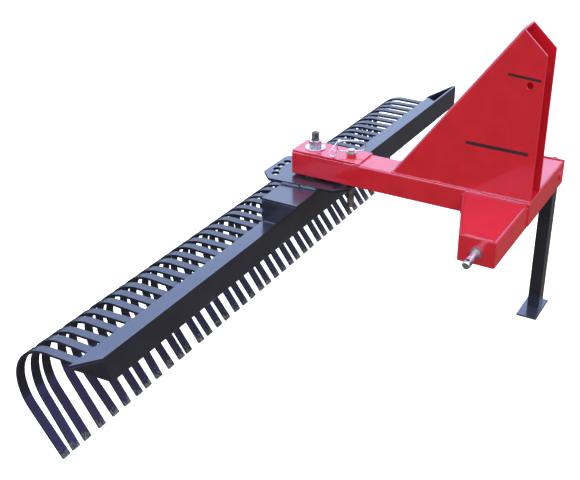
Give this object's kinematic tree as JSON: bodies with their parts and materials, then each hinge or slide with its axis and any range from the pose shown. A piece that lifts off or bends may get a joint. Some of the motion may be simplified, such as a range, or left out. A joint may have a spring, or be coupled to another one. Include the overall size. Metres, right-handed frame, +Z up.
{
  "type": "landscape rake",
  "caption": "Rear landscape rake for a tractor's three-point hitch: hooked spring tines under an angle beam that swivels below a boom with an A-shaped mast and a parking stand.",
  "frame": {"origin": "on the ground, at the middle of the outer box of the whole rake, standing on its tine tips and its parking stand", "axes": "+X forward, towards the tractor; +Y to the machine's left, along the row of tines; +Z up"},
  "size_m": [0.9968, 2.3556, 1.0041],
  "materials": {
    "red_paint": "gloss",
    "black_paint": "gloss",
    "zinc_plate": "satin",
    "yellow_zinc": "satin"
  },
  "bodies": {
    "boom_frame": {"boom_tube": "red_paint", "boom_rear_cap": "red_paint", "boom_front_cap": "red_paint", "boom_doubler_plate": "red_paint", "right_bracket_shell": "red_paint", "left_bracket_shell": "red_paint", "right_bracket_end": "red_paint", "left_bracket_end": "red_paint", "right_hitch_pin": "zinc_plate", "left_hitch_pin": "zinc_plate", "mast": "red_paint", "pivot_bolt": "zinc_plate", "pivot_nut": "zinc_plate", "pivot_washer": "zinc_plate", "thrust_washer": "zinc_plate", "index_pin_boss": "red_paint", "index_pin": "yellow_zinc", "stand_lug": "red_paint", "stand_bolt": "red_paint"},
    "rake_head": {"pivot_plate": "black_paint", "saddle_top": "black_paint", "saddle_back": "black_paint", "saddle_right_end": "black_paint", "saddle_left_end": "black_paint", "beam": "black_paint", "beam_right_gusset": "black_paint", "beam_left_gusset": "black_paint", "tine_group_1": "black_paint", "tine_group_2": "black_paint", "tine_group_3": "black_paint", "tine_group_4": "black_paint", "tine_group_5": "black_paint", "tine_group_6": "black_paint"},
    "stand": {"stand_leg": "black_paint", "stand_foot": "black_paint"}
  },
  "joints": [
    {"name": "head_swivel", "type": "hinge", "parent": "boom_frame", "child": "rake_head", "pos_m": [-0.21762, -0.07867, 0.4413], "axis": [0, 0, 1], "range_deg": [-30, 30]},
    {"name": "stand_fold", "type": "hinge", "parent": "boom_frame", "child": "stand", "pos_m": [0.46538, 0.19283, 0.473], "axis": [-1, 0, 0], "range_deg": [0, 70]}
  ]
}
